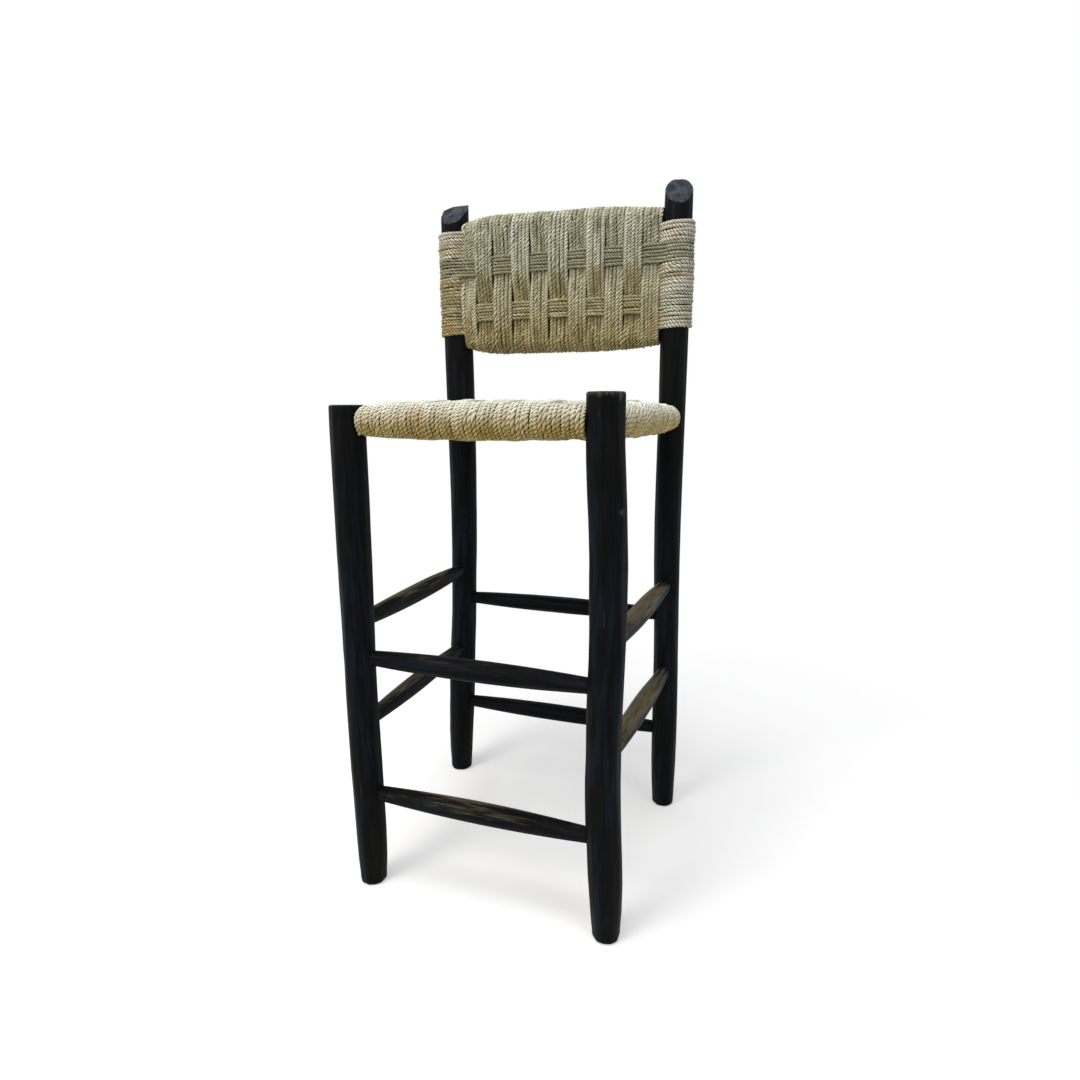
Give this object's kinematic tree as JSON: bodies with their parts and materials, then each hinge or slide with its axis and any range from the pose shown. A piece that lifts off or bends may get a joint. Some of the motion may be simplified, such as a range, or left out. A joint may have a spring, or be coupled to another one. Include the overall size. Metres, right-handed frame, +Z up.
{
  "type": "bar stool",
  "caption": "Tall bar stool with round hand-hewn dark wood posts and rungs, and a seat and low back woven from straw-coloured cord in crossing bands.",
  "frame": {"origin": "on the floor, in the middle of the stool's box", "axes": "+X to the right as seen from the front, +Y to the back, +Z up"},
  "size_m": [0.4635, 0.444, 1.097],
  "materials": {
    "post_wood": "satin dark stain",
    "rung_wood": "satin dark stain, worn",
    "rail_wood": "dark stain",
    "seat_cord": "twisted cord",
    "back_cord": "twisted cord",
    "winding_cord": "twisted cord"
  },
  "bodies": {
    "root": {"back_bottom_rail": "rail_wood", "back_left_post": "post_wood", "back_lower_rung": "rung_wood", "back_lower_weft": "winding_cord", "back_right_post": "post_wood", "back_top_rail": "rail_wood", "back_upper_rung": "rung_wood", "back_upper_weft": "winding_cord", "back_warp_band_01": "back_cord", "back_warp_band_02": "back_cord", "back_warp_band_03": "back_cord", "back_warp_band_04": "back_cord", "back_warp_band_05": "back_cord", "back_warp_band_06": "back_cord", "back_warp_band_07": "back_cord", "back_warp_band_08": "back_cord", "back_warp_band_09": "back_cord", "back_warp_band_10": "back_cord", "back_warp_band_11": "back_cord", "footrest_rung": "rung_wood", "front_left_leg": "post_wood", "front_lower_rung": "rung_wood", "front_right_leg": "post_wood", "left_lower_rung": "rung_wood", "left_post_bottom_winding": "winding_cord", "left_post_middle_winding": "winding_cord", "left_post_top_winding": "winding_cord", "left_upper_rung": "rung_wood", "right_lower_rung": "rung_wood", "right_post_bottom_winding": "winding_cord", "right_post_middle_winding": "winding_cord", "right_post_top_winding": "winding_cord", "right_upper_rung": "rung_wood", "seat_back_rail": "rail_wood", "seat_front_rail": "rail_wood", "seat_left_rail": "rail_wood", "seat_left_windings": "seat_cord", "seat_right_rail": "rail_wood", "seat_right_windings": "seat_cord", "seat_warp_band_01": "seat_cord", "seat_warp_band_02": "seat_cord", "seat_warp_band_03": "seat_cord", "seat_warp_band_04": "seat_cord", "seat_warp_band_05": "seat_cord", "seat_warp_band_06": "seat_cord", "seat_warp_band_07": "seat_cord", "seat_warp_band_08": "seat_cord", "seat_warp_band_09": "seat_cord", "seat_warp_band_10": "seat_cord", "seat_warp_band_11": "seat_cord", "seat_weft_band_1": "seat_cord", "seat_weft_band_2": "seat_cord", "seat_weft_band_3": "seat_cord", "seat_weft_band_4": "seat_cord"}
  },
  "joints": []
}
